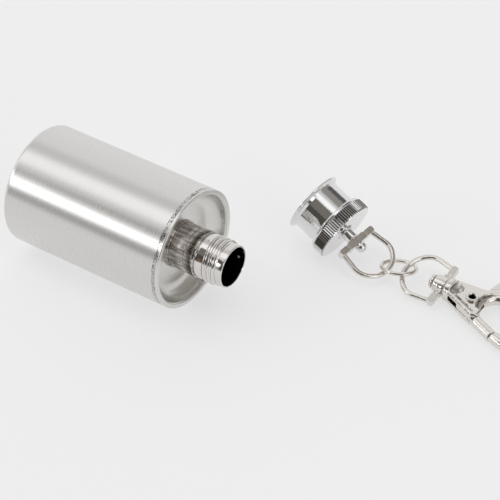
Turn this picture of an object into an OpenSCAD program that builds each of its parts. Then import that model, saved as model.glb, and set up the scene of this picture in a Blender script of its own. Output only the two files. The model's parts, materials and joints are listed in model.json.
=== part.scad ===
// Small steel flask on its side, its screw cap taken off, and the snap-hook keychain that holds the cap.
// Millimetres. The origin is the centre of the flask's mouth, +X points out of the mouth and +Z is up.

/* [Flask body] */
// Outside diameter of the flask
body_d = 33; // [30:0.5:38]
// Length of the flask from its base to its rim
body_l = 50.3; // [40:0.5:70]
// Thickness of the steel sheet
sheet = 0.6; // [0.5:0.05:0.8]
// Radius of the turned edge at the base
base_edge_r = 1.4; // [1:0.1:2]
// How far the base disc lies inside the edge
base_recess = 1; // [0.8:0.1:2]
// Depth of the pan around the neck
pan_depth = 4.6; // [3.5:0.1:6]
// Width of the bright rim band
rim_w = 1.3; // [1:0.1:2]
// Radius of the hollow between the pan's wall and its floor
pan_fillet = 4.1; // [3:0.1:4.2]

/* [Neck] */
// How far the mouth stands out past the rim
neck_out = 12.3; // [10:0.1:14]
// Inside diameter of the neck
bore_d = 10.8; // [9:0.1:11.2]
// Thickness of the neck's wall
neck_wall = 0.8; // [0.6:0.05:1]
// How far the thread stands out past the neck
thread_out = 0.35; // [0.2:0.05:0.5]
// Depth of the thread
thread_depth = 0.5; // [0.3:0.05:0.6]
// Pitch of the thread
thread_pitch = 1.45; // [1.2:0.05:1.5]
// Number of thread ridges
thread_turns = 3; // [2:1:3]
// How far the drinking lip lies inside the neck's surface
lip_in = 0.35; // [0.25:0.05:0.45]

/* [Cap] */
// How far the knurl stands out past the barrel
knurl_h = 1.4; // [1.2:0.05:1.8]
// Width of the knurled band
knurl_w = 3.5; // [3:0.1:4]
// Width of the plain shoulder behind the knurl
shoulder_w = 0.9; // [0.6:0.1:1.2]
// Thickness of the knurled top's end plate
top_t = 0.5; // [0.4:0.05:0.7]
// Number of knurl ridges
knurl_n = 80; // [40:4:96]
// Depth of one knurl groove
knurl_depth = 0.22; // [0.1:0.02:0.3]
// Thickness of the threaded liner between its ridges
liner_t = 0.38; // [0.3:0.02:0.5]
// Length of the cap from its knurled end face to its open lip
cap_l = 12.4; // [12:0.1:13]
// How far the flared lip stands out past the barrel
flare_h = 1.15; // [0.8:0.05:1.4]
// Length of the flare
flare_l = 1.3; // [1:0.1:1.8]
// Thickness of the cap's shell
cap_wall = 0.45; // [0.35:0.05:0.5]
// Thickness of the sealing disc
gasket_t = 0.9; // [0.6:0.1:1.2]

/* [Swivel stud in the cap] */
// Diameter of the stud's shoulder
stem_d = 3.4; // [3:0.1:4]
// Gap from the cap's end face to the ring's bar
stem_l = 3; // [2.4:0.1:4]
// Diameter of the pin through the ring's bar
cap_pin_d = 2.2; // [1.8:0.1:2.4]
// Diameter of the stud's round head
stud_ball_d = 3; // [2.8:0.1:3.4]

/* [Rings of the chain] */
// Wire diameter of both D-rings
d_wire = 1.5; // [1.4:0.05:1.6]
// Outside width of the cap ring's bar
cap_ring_w = 12.9; // [12.4:0.1:13.6]
// Widest span of the cap ring's bow, outside
cap_ring_span = 14.4; // [14:0.1:15.5]
// Outside width of the hook ring's bar
hook_ring_w = 13.4; // [13:0.1:14.4]
// Widest span of the hook ring's bow, outside
hook_ring_span = 14.8; // [14.4:0.1:15.5]
// Straight part of the D-rings' legs
d_leg = 5.7; // [5:0.1:7]
// Height of the D-rings' bow above the legs
d_bow = 5.6; // [5.3:0.1:6]
// Width of the D-rings' bar along the chain
d_bar_w = 2; // [1.8:0.1:2.4]
// Height of the D-rings' bar
d_bar_h = 2.4; // [2:0.1:2.6]
// Wire diameter of the jump ring
link_wire = 1.2; // [1:0.05:1.4]
// Middle radius of the jump ring
link_r = 4.65; // [4.55:0.05:4.9]

/* [Snap hook] */
// Diameter of the hook's collar
collar_d = 6.4; // [6:0.1:6.8]
// Length of the hook's collar
collar_l = 2; // [1.6:0.1:2.4]
// Diameter of the swivel stud
swivel_d = 2.4; // [2:0.1:2.6]
// Diameter of the swivel's hub in the hook ring's bar
hub_d = 5; // [4.6:0.1:5.4]
// Thickness of the hook's flat body
hook_t = 4; // [3.8:0.1:4.4]
// Thickness of the hook's round arm
arm_d = 3.4; // [3:0.1:3.6]
// Height of the slot that the trigger sits in
slot_h = 1.5; // [1.4:0.05:1.7]
// Middle radius of the hook's far end
hook_far_r = 7; // [6.6:0.1:7.6]
// Outside diameter of the hollow rivet
rivet_d = 2.5; // [2.3:0.1:2.8]
// Diameter of the hole through the hollow rivet
rivet_hole_d = 1.8; // [1.4:0.1:1.9]
// Diameter of the rivet's rolled flanges
rivet_flange_d = 3.6; // [3.4:0.1:4]

/* [Fits] */
// Radial clearance of a part that turns on its pin
run_clear = 0.05; // [0.03:0.01:0.08]
// Gap between parts that lie side by side
side_gap = 0.15; // [0.1:0.05:0.25]
// Least gap between two linked wires
link_gap = 0.12; // [0.1:0.02:0.3]

/* [Hidden] */
$fn = 96;
eps = 0.01;

steel = [0.80, 0.79, 0.77];
polished = [0.86, 0.86, 0.87];
chrome = [0.90, 0.90, 0.92];
nickel = [0.82, 0.79, 0.75];
liner_white = [0.93, 0.93, 0.91];
seal_white = [0.88, 0.88, 0.86];

// Places along the flask, measured from the mouth
table_z = -body_d / 2;
rim_x = -neck_out;
pan_x = rim_x - pan_depth;
base_x = rim_x - body_l;
neck_l = neck_out + pan_depth;
neck_d = bore_d + 2 * neck_wall;
thread_d = neck_d + 2 * thread_out;
lip_d = neck_d - 2 * lip_in;
tube_bore_r = body_d / 2 - sheet;
flange_t = 0.6;
rim_r = body_d / 2 - rim_w;
foot_w = 1.2;
foot_r = body_d / 2 - base_edge_r - foot_w;

// Points of an arc, from angle a to angle b about a centre
function arc(cx, cy, r, a, b, n = 8) = [for (i = [0:n]) [cx + r * cos(a + (b - a) * i / n), cy + r * sin(a + (b - a) * i / n)]];

// Turns a profile of [radius, x] points about the X axis
module turned(points) {
    rotate([0, 90, 0])
        rotate_extrude()
            polygon(points);
}

module rod_x(d, x0, x1) {
    translate([x0, 0, 0])
        rotate([0, 90, 0])
            cylinder(d = d, h = x1 - x0);
}

// Flask

module body_tube() {
    r = body_d / 2;
    e = base_edge_r;
    color(steel)
        turned(concat(
            [[tube_bore_r, rim_x - flange_t], [r, rim_x - flange_t]],
            arc(r - e, base_x + e, e, 0, -90),
            [[foot_r, base_x], [foot_r, base_x + sheet]],
            arc(r - e, base_x + e, e - sheet, -90, 0)
        ));
}

module base_disc() {
    seat_x = base_x + sheet;
    floor_x = seat_x + base_recess;
    disc_r = tube_bore_r - run_clear;
    wall_r = foot_r - sheet;
    color(steel)
        turned([
            [0, floor_x], [wall_r - base_recess, floor_x], [wall_r, seat_x], [disc_r - base_edge_r, seat_x],
            [disc_r - base_edge_r, seat_x + sheet], [wall_r + sheet / 2, seat_x + sheet],
            [wall_r - base_recess + sheet / 2, floor_x + sheet], [0, floor_x + sheet]
        ]);
}

module top_pan() {
    r = body_d / 2;
    f = pan_fillet;
    edge = 0.3;
    skirt_r = tube_bore_r - run_clear;
    wall_r = rim_r - 0.2;
    skirt_l = 1.5;
    turn_in = asin(max(0, pan_x + f - rim_x + skirt_l + 0.3) / (f + sheet));
    color(steel)
        turned(concat(
            [[neck_d / 2 + run_clear, pan_x]],
            arc(wall_r - f, pan_x + f, f, -90, 0, 16),
            arc(rim_r + edge, rim_x - edge, edge, 180, 90, 4),
            arc(r - edge, rim_x - edge, edge, 90, 0, 4),
            [[r, rim_x - flange_t], [skirt_r, rim_x - flange_t], [skirt_r, rim_x - skirt_l]],
            arc(wall_r - f, pan_x + f, f + sheet, -turn_in, -90, 16),
            [[neck_d / 2 + run_clear, pan_x - sheet]]
        ));
}

collar_ring_t = 0.7;
collar_ring_r = neck_d / 2 + 0.35;

module neck_collar() {
    edge = 0.2;
    color(polished)
        turned(concat(
            [[neck_d / 2 + run_clear, pan_x], [collar_ring_r, pan_x]],
            arc(collar_ring_r - edge, pan_x + collar_ring_t - edge, edge, 0, 90, 4),
            [[neck_d / 2 + run_clear, pan_x + collar_ring_t]]
        ));
}

// Neck, with its rolled steps and thread ridges; t runs from the pan's floor to the mouth
step_r = neck_d / 2 + 0.2;
waist_r = neck_d / 2 - 0.05;
root_r = thread_d / 2 - thread_depth;
first_ridge_t = neck_l - 1.55 - thread_pitch * thread_turns;

function ridge(t, root, crest, w) = [[root, t - w / 2], [crest, t - w / 6], [crest, t + w / 6], [root, t + w / 2]];

module neck_tube() {
    step_t = first_ridge_t - 5.7;
    waist_t = first_ridge_t - 2.5;
    edge = 0.25;
    inner_flange_r = neck_d / 2 + 1;
    outer = concat(
        [[neck_d / 2, -sheet], [neck_d / 2, step_t - 0.25], [neck_d / 2 - 0.15, step_t]],
        arc(step_r - 0.2, step_t + 0.2, 0.2, -90, 0, 3),
        arc(step_r - 0.3, waist_t - 0.3, 0.3, 0, 90, 3),
        [[waist_r, waist_t], [waist_r, first_ridge_t - 1]],
        [for (i = [0:thread_turns - 1])
            each ridge(first_ridge_t + i * thread_pitch, root_r, thread_d / 2, thread_pitch * 0.8)],
        [[root_r, neck_l - 2.2], [lip_d / 2, neck_l - 2]],
        arc(lip_d / 2 - edge, neck_l - edge, edge, 0, 90, 4)
    );
    color(polished)
        turned([for (p = concat(
            [[bore_d / 2, neck_l], [bore_d / 2, -2 * sheet], [inner_flange_r, -2 * sheet], [inner_flange_r, -sheet]],
            outer
        )) [p[0], p[1] + pan_x]]);
}

// Cap sizes from the thread outwards: liner, shell, and what stands out past the barrel
liner_hole_r = thread_d / 2 + 0.12;
liner_crest_r = root_r + 0.12;
liner_r = liner_hole_r + liner_t;
shell_bore_r = liner_r + run_clear;
barrel_r = shell_bore_r + cap_wall;
knurl_r = barrel_r + knurl_h;
flare_r = barrel_r + flare_h;

// Chain, laid out from the snap hook back to the cap

hook_x = 40.95;
hook_y = 37.2;
hook_yaw = -2.8;
hook_ring_roll = 14.2;
cap_yaw = -5.9;
cap_ring_roll = 6.3;
link_tilt = 18.1;
link_turn = 114;

// The hook lies on the end of its collar and on the far end of its arm
collar_from = 1.35;
collar_to = collar_from + collar_l;
collar_edge = 0.3;
hook_foot = collar_to - collar_edge;
hook_far_x = 24;
hook_dip = atan((collar_d - arm_d) / 2 / (hook_far_x + hook_far_r - hook_foot));
hook_h = hook_foot * sin(hook_dip) + collar_d / 2 * cos(hook_dip);
wire_pass = (link_wire + d_wire) / 2 + link_gap;

function heading(dip, yaw) = [cos(dip) * cos(yaw), cos(dip) * sin(yaw), -sin(dip)];

hook_at = [hook_x, hook_y, table_z + hook_h];
hook_dir = heading(hook_dip, hook_yaw);
d_reach = d_leg + d_bow;
hook_ring_tip = hook_at - hook_dir * d_reach;
link_at = hook_ring_tip + [wire_pass + 1 - link_r, -0.39, -0.79];
cap_ring_tip = link_at + [wire_pass + 0.72 - link_r, -2.13, -0.94];

// The cap leans on its knurled edge and on the ring that the jump ring holds up
bar_at = stem_l + d_bar_w / 2;
cap_reach = bar_at + d_reach;
tip_h = cap_ring_tip[2] - table_z;
knurl_bevel = 0.35;
lean_reach = cap_reach + knurl_bevel;
cap_dip = acos(tip_h / norm([knurl_r, lean_reach])) - atan2(lean_reach, knurl_r);
cap_at = cap_ring_tip - heading(cap_dip, cap_yaw) * cap_reach;

module at_cap() {
    translate(cap_at)
        rotate([0, cap_dip, cap_yaw])
            children();
}

module at_cap_ring() {
    at_cap()
        translate([bar_at, 0, 0])
            rotate([cap_ring_roll, 0, 0])
                children();
}

module at_link() {
    translate(link_at)
        rotate([0, link_tilt, link_turn])
            children();
}

module at_hook() {
    translate(hook_at)
        rotate([0, hook_dip, hook_yaw])
            children();
}

module at_hook_ring() {
    at_hook()
        rotate([hook_ring_roll, 0, 0])
            children();
}

// Cap; in its own frame +X points from the open end to the chain and x = 0 is the knurled end face

end_t = 0.6;
inner_end_x = -top_t - end_t;
washer_t = 0.5;
gasket_x = inner_end_x - washer_t;
liner_end_x = gasket_x - gasket_t;
boss_d = 5.2;
boss_l = 0.5;

module cap_shell() {
    lip = 0.3;
    hole_r = cap_pin_d / 2 + 0.3 + run_clear;
    color(chrome)
        at_cap()
            turned(concat(
                [[hole_r, inner_end_x], [shell_bore_r, inner_end_x], [shell_bore_r, flare_l - cap_l]],
                [[flare_r - cap_wall - 0.35, lip - cap_l]],
                arc(flare_r - lip, lip - cap_l, lip, -150, 60, 6),
                [[barrel_r + 0.35, flare_l * 0.75 - cap_l], [barrel_r, flare_l + 0.3 - cap_l]],
                arc(barrel_r - 0.4, -top_t - 0.4, 0.4, 0, 90, 4),
                [[hole_r, -top_t]]
            ));
}

module cap_knurled_top() {
    bevel = knurl_bevel;
    shoulder_r = knurl_r - 0.3;
    band_l = knurl_w + shoulder_w;
    seat_r = barrel_r + 0.02;
    hole_r = cap_pin_d / 2 + 0.3 + run_clear;
    module tooth_ring() {
        polygon([for (i = [0:2 * knurl_n - 1])
            let (a = 180 * i / knurl_n, r = knurl_r - (i % 2) * knurl_depth)
            [r * cos(a), r * sin(a)]]);
    }
    color(chrome)
        at_cap()
            difference() {
                union() {
                    intersection() {
                        translate([-knurl_w, 0, 0])
                            rotate([0, 90, 0])
                                linear_extrude(knurl_w)
                                    tooth_ring();
                        turned([
                            [0, -knurl_w], [knurl_r - bevel, -knurl_w], [knurl_r + eps, bevel - knurl_w],
                            [knurl_r + eps, -bevel], [knurl_r - bevel, 0], [0, 0]
                        ]);
                    }
                    turned([
                        [0, -band_l], [shoulder_r - 0.5, -band_l], [shoulder_r, 0.4 - band_l],
                        [shoulder_r, -knurl_w / 2], [0, -knurl_w / 2]
                    ]);
                }
                rod_x(2 * seat_r, -band_l - 1, -top_t);
                rod_x(2 * hole_r, -1, 1);
            }
}

module cap_thread_liner() {
    open_x = 0.9 - cap_l;
    color(liner_white)
        at_cap()
            turned(concat(
                [[liner_r, liner_end_x], [liner_r, open_x], [liner_hole_r + 0.1, open_x], [liner_hole_r, open_x + 0.4]],
                [for (i = [0:thread_turns - 1])
                    each ridge(open_x + 1.8 + i * thread_pitch, liner_hole_r, liner_crest_r, thread_pitch * 0.5)],
                [[liner_hole_r, liner_end_x]]
            ));
}

module cap_gasket() {
    color(seal_white)
        at_cap()
            rod_x(2 * (liner_r - 0.05), gasket_x - gasket_t, gasket_x);
}

module cap_swivel_stud() {
    pin_r = cap_pin_d / 2;
    ball_r = stud_ball_d / 2;
    bar_back = bar_at + d_bar_w / 2 + side_gap;
    ball_cut = sqrt(ball_r * ball_r - pin_r * pin_r);
    color(chrome)
        at_cap() {
            rod_x(2 * pin_r + 2.6, gasket_x + 0.05, inner_end_x);
            rod_x(2 * pin_r + 0.6, inner_end_x - eps, eps);
            turned([
                [0, 0], [boss_d / 2, 0], [boss_d / 2, boss_l - 0.3], [boss_d / 2 - 0.5, boss_l],
                [stem_d / 2, boss_l], [stem_d / 2, stem_l - side_gap - 0.2],
                [stem_d / 2 - 0.2, stem_l - side_gap], [0, stem_l - side_gap]
            ]);
            rod_x(2 * pin_r, stem_l - side_gap - eps, bar_back + ball_cut);
            intersection() {
                translate([bar_back + ball_cut * 0.7, 0, 0])
                    sphere(r = ball_r);
                rod_x(2 * stud_ball_d, bar_back, bar_back + 2 * stud_ball_d);
            }
        }
}

// Rings of the chain; in its own frame a D-ring's bar runs along Y and its bow points along +X

// Wire pieces stop a hair short of each other, and a sleeve that is hardly thicker joins them
seam = 0.05;

// One stretch of round wire that bends through the angles a to b about a centre
module wire_arc(cx, cy, r, a, b, d) {
    cut = seam / r * 180 / PI;
    translate([cx, cy, 0])
        rotate([0, 0, a + cut])
            rotate_extrude(angle = b - a - 2 * cut)
                translate([r, 0])
                    circle(d = d);
}

module wire_line(p, q, d) {
    run = q - p;
    translate([p[0], p[1], 0])
        rotate([0, 90, atan2(run[1], run[0])])
            translate([0, 0, seam])
                cylinder(d = d, h = norm(run) - 2 * seam);
}

module wire_joint(p, a, d) {
    translate([p[0], p[1], 0])
        rotate([0, 90, a])
            cylinder(d = d + 0.02, h = 6 * seam, center = true);
}

module d_wire_loop(bar_w, span) {
    half = (span - d_wire) / 2;
    base = (bar_w - d_wire) / 2 - 0.1;
    side_r = 4.6;
    shift = half - side_r;
    tip_r = (d_bow * d_bow + shift * shift - side_r * side_r) / (2 * (d_bow - side_r));
    turn = asin(shift / (tip_r - side_r));
    reach = norm([d_leg, base - shift]);
    lean = asin(side_r / reach) - atan2(base - shift, d_leg);
    leg_l = sqrt(reach * reach - side_r * side_r);
    wire_arc(d_leg + d_bow - tip_r, 0, tip_r, -turn, turn, d_wire);
    wire_arc(d_leg, shift, side_r, turn, 90 + lean, d_wire);
    wire_arc(d_leg, -shift, side_r, -90 - lean, -turn, d_wire);
    for (s = [-1, 1]) {
        knee = [leg_l * cos(lean), s * (base + leg_l * sin(lean))];
        wire_line([0, s * base], knee, d_wire);
        wire_joint(knee, s * lean, d_wire);
        wire_joint([d_leg + side_r * cos(turn), s * (shift + side_r * sin(turn))], s * (turn - 90), d_wire);
    }
}

// Flat bar with a wide middle, rounded ends and a nick between them on each side
module d_bar(bar_w, end_h) {
    middle_w = 6.2;
    nick_w = 0.6;
    end_w = (bar_w - middle_w) / 2 - nick_w;
    end_r = 0.6;
    half = d_bar_w / 2 - 0.1;
    cube([d_bar_w, middle_w, d_bar_h], center = true);
    cube([d_bar_w - 0.5, bar_w - 2, end_h - 0.4], center = true);
    for (s = [0, 1])
        mirror([0, s, 0])
            translate([0, bar_w / 2, -end_h / 2])
                linear_extrude(end_h)
                    polygon(concat(
                        [[-half, -end_w], [half, -end_w]],
                        arc(half - end_r, -end_r, end_r, 0, 90, 4),
                        arc(end_r - half, -end_r, end_r, 90, 180, 4)
                    ));
}

module cap_d_ring() {
    color(nickel)
        at_cap_ring()
            difference() {
                union() {
                    d_wire_loop(cap_ring_w, cap_ring_span);
                    d_bar(cap_ring_w, d_bar_h - 0.2);
                }
                rod_x(cap_pin_d + 2 * run_clear, -d_bar_w, d_bar_w);
            }
}

module jump_ring() {
    split = 3;
    color(nickel)
        at_link()
            rotate([0, 0, 68 + split / 2])
                rotate_extrude(angle = 360 - split)
                    translate([link_r, 0])
                        circle(d = link_wire);
}

hub_in = 2.4;
hub_out = collar_from - side_gap;

module hook_d_ring() {
    edge = 0.7;
    color(nickel)
        at_hook_ring()
            difference() {
                union() {
                    mirror([1, 0, 0]) {
                        d_wire_loop(hook_ring_w, hook_ring_span);
                        d_bar(hook_ring_w, d_bar_h - 0.6);
                    }
                    turned(concat(
                        [[0, -hub_in]],
                        arc(hub_d / 2 - edge, edge - hub_in, edge, -90, 0, 4),
                        arc(hub_d / 2 - 0.3, hub_out - 0.3, 0.3, 0, 90, 3),
                        [[0, hub_out]]
                    ));
                }
                rod_x(swivel_d + 2 * run_clear, -hub_in - 1, hub_out + 1);
            }
}

swivel_end_x = collar_to + 0.2;

module hook_swivel_stud() {
    head_d = 4;
    head_t = 1;
    head_x = -hub_in - side_gap;
    color(nickel)
        at_hook() {
            turned(concat(
                [[0, head_x]],
                [[head_d / 2, head_x]],
                arc(head_d / 2 - 0.6, head_x - head_t + 0.6, 0.6, 0, -90, 4),
                [[0, head_x - head_t]]
            ));
            rod_x(swivel_d, head_x - eps, swivel_end_x);
        }
}

// Snap hook; its outline lies in XY, the trigger turns about an axis along Z
pivot = [9.5, -0.8];
eye_near = [17.1, -0.05];
eye_near_r = 6;
eye_near_from = 216;
eye_far = [hook_far_x, -1.6];
eye_far_from = -122;
gate_reach = 13.1;
nose_r = 6.3;
nose_from = -62;
nose_to = -45;
nose_start = pivot + nose_r * [cos(nose_from), sin(nose_from)];
plate_x = collar_to - 0.6;
plate_near = -2.8;
plate_far = 3;
gate_from = [14, -5.8];
gate_to = [22, -8.7];
lever = [[12.1, 5.9, 0.9], [13.2, 9.4, 1.5], [14.5, 8.8, 1.3]];
trigger_disc_r = 2.5;
web_x = 6.8;

module hook_tip_cut(r) {
    translate([pivot[0], pivot[1], -hook_t])
        cylinder(r = r, h = 2 * hook_t);
}

module hook_loop() {
    run = eye_far - eye_near;
    side = atan2(run[1], run[0]) + acos((eye_near_r - hook_far_r) / norm(run));
    out = [cos(side), sin(side)];
    wire_arc(eye_near[0], eye_near[1], eye_near_r, side, eye_near_from, arm_d);
    wire_line(eye_near + eye_near_r * out, eye_far + hook_far_r * out, arm_d);
    wire_joint(eye_near + eye_near_r * out, side - 90, arm_d);
    wire_joint(eye_far + hook_far_r * out, side - 90, arm_d);
    difference() {
        wire_arc(eye_far[0], eye_far[1], hook_far_r, eye_far_from, side, arm_d);
        hook_tip_cut(gate_reach + side_gap);
    }
}

// A point on the plate's near edge, and the same point set in by d
function near_edge(x, d = 0) =
    [x, plate_near + d + (x - plate_x) * (nose_start[1] - plate_near) / (nose_start[0] - plate_x)];

module plate_outline(inset) {
    polygon(concat(
        [[plate_x, plate_near + inset]],
        arc(pivot[0], pivot[1], nose_r - inset, nose_from, nose_to, 5),
        [[13.3 - inset, -3.4], [12.8, 2.4], [12.4, 4.2 - inset / 2], [11.2, 4.6 - inset], [plate_x, plate_far - inset]]
    ));
}

module hook_plate() {
    bevel = 0.45;
    rail_w = 0.75;
    recess = 0.3;
    difference() {
        hull() {
            translate([0, 0, -hook_t / 2])
                linear_extrude(hook_t)
                    plate_outline(bevel);
            translate([0, 0, bevel - hook_t / 2])
                linear_extrude(hook_t - 2 * bevel)
                    plate_outline(0);
        }
        // Sunk field between the collar, the rail along the near edge and the flat round the rivet
        for (s = [0, 1])
            mirror([0, 0, s])
                translate([0, 0, hook_t / 2 - recess])
                    linear_extrude(1)
                        polygon([
                            near_edge(plate_x - 1, rail_w), near_edge(12, rail_w + 0.3),
                            [12.4, -4.65], [10.1, -3.65], [8.1, -2.8], [5.4, -1.95],
                            [6.3, -0.1], [5.8, 1.4], [collar_to, 2.2], [plate_x - 1, 2.2]
                        ]);
        // The round arm starts in the plate
        translate([0, 0, -hook_t])
            linear_extrude(2 * hook_t)
                polygon(concat([[15, -3.2], [15, 5]], arc(eye_near[0], eye_near[1], eye_near_r, 112, 211, 16)));
    }
}

// Flat back of the eye, which runs from the plate along the outside of the arm
module hook_back() {
    back_r = eye_near_r + arm_d / 2 - 0.1;
    back_t = arm_d + 0.4;
    translate([0, 0, -back_t / 2])
        linear_extrude(back_t)
            polygon(concat(
                [[9.5, 2.5], [10.6, 4.3]],
                arc(eye_near[0], eye_near[1], back_r, 143, 115, 8),
                [for (i = [1:6])
                    let (r = back_r + (eye_near_r - back_r) * i / 6, a = 115 - 5 * i)
                    eye_near + r * [cos(a), sin(a)]],
                arc(eye_near[0], eye_near[1], eye_near_r, 90, 165, 16)
            ));
}

// The spring lies between the slot's end and the trigger's heel
spring_seat_x = collar_to + 1;
heel_x = 7.3;

// The slot holds the trigger over its whole turn
module trigger_slot() {
    translate([0, 0, -slot_h / 2])
        linear_extrude(slot_h)
            union() {
                translate(pivot)
                    circle(r = 3);
                polygon([
                    [spring_seat_x, -0.6], [spring_seat_x, 2.1], [8.6, 2.1], [8, 8.5], [15, 9], [14.6, 4.6], [12.2, 0.6],
                    [15.4, -1.4], [17.5, -3.6], [15.6, -8.4], [12.6, -8.4], [collar_to + 0.15, -4.8], [collar_to + 0.15, -2]
                ]);
            }
}

module hook_body() {
    color(nickel)
        at_hook()
            difference() {
                union() {
                    turned([
                        [0, collar_from], [collar_d / 2 - 0.4, collar_from], [collar_d / 2, collar_from + 0.4],
                        [collar_d / 2, hook_foot], [collar_d / 2 - 0.5, collar_to], [0, collar_to]
                    ]);
                    hook_plate();
                    hook_back();
                    hook_loop();
                }
                trigger_slot();
                rod_x(swivel_d, collar_from - 1, swivel_end_x);
                translate([pivot[0], pivot[1], -hook_t])
                    cylinder(d = rivet_d, h = 2 * hook_t);
            }
}

module hook_trigger() {
    plate_t = slot_h - 0.2;
    tab_h = arm_d - 0.2;
    gate_r = arm_d / 2 - 0.1;
    clear_r = nose_r + side_gap;
    color(nickel)
        at_hook()
            difference() {
                union() {
                    translate([0, 0, -plate_t / 2])
                        linear_extrude(plate_t) {
                            translate(pivot)
                                circle(r = trigger_disc_r);
                            polygon([
                                [web_x, -1.6], near_edge(web_x, 0.15), near_edge(12.2, 0.15),
                                gate_from - [0.6, 1.2], gate_from + [1.2, 0.2], [11.8, -1.6]
                            ]);
                            polygon([[10.4, 1], [12.4, 6.6], [13.4, 6.4], [11.9, -0.4]]);
                            polygon([[heel_x, -0.6], [heel_x, 1.7], [heel_x + 0.9, 1.7], [9.5, 1.5]]);
                        }
                    intersection() {
                        difference() {
                            translate([gate_from[0], gate_from[1], 0])
                                rotate([0, 90, atan2(gate_to[1] - gate_from[1], gate_to[0] - gate_from[0])])
                                    cylinder(r = gate_r, h = norm(gate_to - gate_from));
                            hook_tip_cut(clear_r);
                        }
                        hook_tip_cut(gate_reach);
                    }
                    difference() {
                        translate([0, 0, -tab_h / 2])
                            linear_extrude(tab_h)
                                hull()
                                    for (c = lever)
                                        translate([c[0], c[1]])
                                            circle(r = c[2], $fn = 32);
                        translate([eye_near[0], eye_near[1], -hook_t])
                            cylinder(r = eye_near_r + arm_d / 2 + side_gap, h = 2 * hook_t);
                    }
                }
                translate([pivot[0], pivot[1], -hook_t])
                    cylinder(d = rivet_d + 2 * run_clear, h = 2 * hook_t);
            }
}

module trigger_rivet() {
    flange_h = 0.6;
    half = hook_t / 2;
    hole_r = rivet_hole_d / 2;
    flange_r = rivet_flange_d / 2;
    edge = 0.25;
    color(nickel)
        at_hook()
            translate([pivot[0], pivot[1], 0])
                rotate_extrude()
                    polygon(concat(
                        [[hole_r, -half - flange_h + edge], [hole_r + edge, -half - flange_h]],
                        arc(flange_r - edge, -half - flange_h + edge, edge, -90, 0, 3),
                        [[flange_r, -half], [rivet_d / 2, -half], [rivet_d / 2, half], [flange_r, half]],
                        arc(flange_r - edge, half + flange_h - edge, edge, 0, 90, 3),
                        [[hole_r + edge, half + flange_h], [hole_r, half + flange_h - edge]]
                    ));
}

// Small compression spring between the collar's end and the trigger's heel
spring_wire = 0.25;
spring_r = (slot_h - 0.2 - spring_wire) / 2;
spring_turns = 3;
spring_from = spring_seat_x + 0.05 + spring_wire / 2;
spring_to = heel_x - 0.05 - spring_wire / 2;
spring_steps = 18;
spring_sides = 8;

function coil_point(k) =
    let (n = spring_turns * spring_steps, a = 360 * k / spring_steps)
    [spring_from + (spring_to - spring_from) * k / n, spring_r * cos(a), spring_r * sin(a)];

// Least gap of the spring to itself, between points at least half a turn apart
coil_points = [for (k = [0:spring_turns * spring_steps]) coil_point(k)];
coil_gap = min([for (i = [0:len(coil_points) - 1])
    for (j = [i + spring_steps / 2:1:len(coil_points) - 1])
        norm(coil_points[i] - coil_points[j])]) - spring_wire;
echo(coil_gap = coil_gap);

function coil_ring(k) =
    let (a = 360 * k / spring_steps, p = coil_point(k), out = [0, cos(a), sin(a)])
    [for (j = [0:spring_sides - 1])
        let (b = 360 * j / spring_sides)
        p + spring_wire / 2 * (cos(b) * out + sin(b) * [1, 0, 0])];

module trigger_spring() {
    rings = spring_turns * spring_steps;
    m = spring_sides;
    points = [for (k = [0:rings]) each coil_ring(k)];
    walls = [for (k = [0:rings - 1], j = [0:m - 1])
        let (a = k * m + j, b = k * m + (j + 1) % m)
        each [[a, b, b + m], [a, b + m, a + m]]];
    start_cap = [for (j = [1:m - 2]) [0, j + 1, j]];
    end_cap = [for (j = [1:m - 2]) [rings * m, rings * m + j, rings * m + j + 1]];
    color(steel)
        at_hook()
            translate([0, 0.75, 0])
                polyhedron(points, concat(walls, start_cap, end_cap));
}

body_tube();
base_disc();
top_pan();
neck_collar();
neck_tube();
cap_shell();
cap_knurled_top();
cap_thread_liner();
cap_gasket();
cap_swivel_stud();
cap_d_ring();
jump_ring();
hook_d_ring();
hook_swivel_stud();
hook_body();
hook_trigger();
trigger_rivet();
trigger_spring();
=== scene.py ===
# %% [markdown]
# A small steel flask lies on its side. Its screw cap is off, and a short chain joins the cap to a snap
# hook. The sizes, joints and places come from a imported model, the frame, so the first step is to load
# it. Every object is in metres, with the origin at the centre of the flask's mouth.

# %% Load the frame
import json
import math

import bpy
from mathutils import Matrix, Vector


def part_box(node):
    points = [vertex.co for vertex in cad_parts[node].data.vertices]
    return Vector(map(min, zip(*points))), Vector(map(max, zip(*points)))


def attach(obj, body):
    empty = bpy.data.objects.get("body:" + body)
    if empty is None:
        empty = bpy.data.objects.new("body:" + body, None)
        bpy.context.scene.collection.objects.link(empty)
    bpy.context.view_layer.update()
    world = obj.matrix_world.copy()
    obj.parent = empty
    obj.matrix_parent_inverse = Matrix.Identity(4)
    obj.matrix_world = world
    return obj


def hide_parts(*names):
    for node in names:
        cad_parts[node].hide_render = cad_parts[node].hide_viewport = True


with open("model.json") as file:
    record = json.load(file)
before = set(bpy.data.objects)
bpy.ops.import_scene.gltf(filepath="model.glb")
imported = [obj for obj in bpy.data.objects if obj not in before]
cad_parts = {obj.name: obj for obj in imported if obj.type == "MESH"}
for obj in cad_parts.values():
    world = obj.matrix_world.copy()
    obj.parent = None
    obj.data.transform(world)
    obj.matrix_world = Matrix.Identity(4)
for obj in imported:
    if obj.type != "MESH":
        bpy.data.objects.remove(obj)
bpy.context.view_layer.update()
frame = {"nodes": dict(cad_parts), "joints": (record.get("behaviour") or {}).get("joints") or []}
nodes = frame["nodes"]
joints = {joint["name"]: joint for joint in frame["joints"]}
bpy.ops.object.select_all(action="DESELECT")
MM = 0.001
print("joints:", ", ".join(sorted(joints)))

# %% [markdown]
# The table's height and the end of the flask are read back from the frame, so that they follow the
# model. The flask lies on the table with its axis along X, so half its height is its radius.

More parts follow.
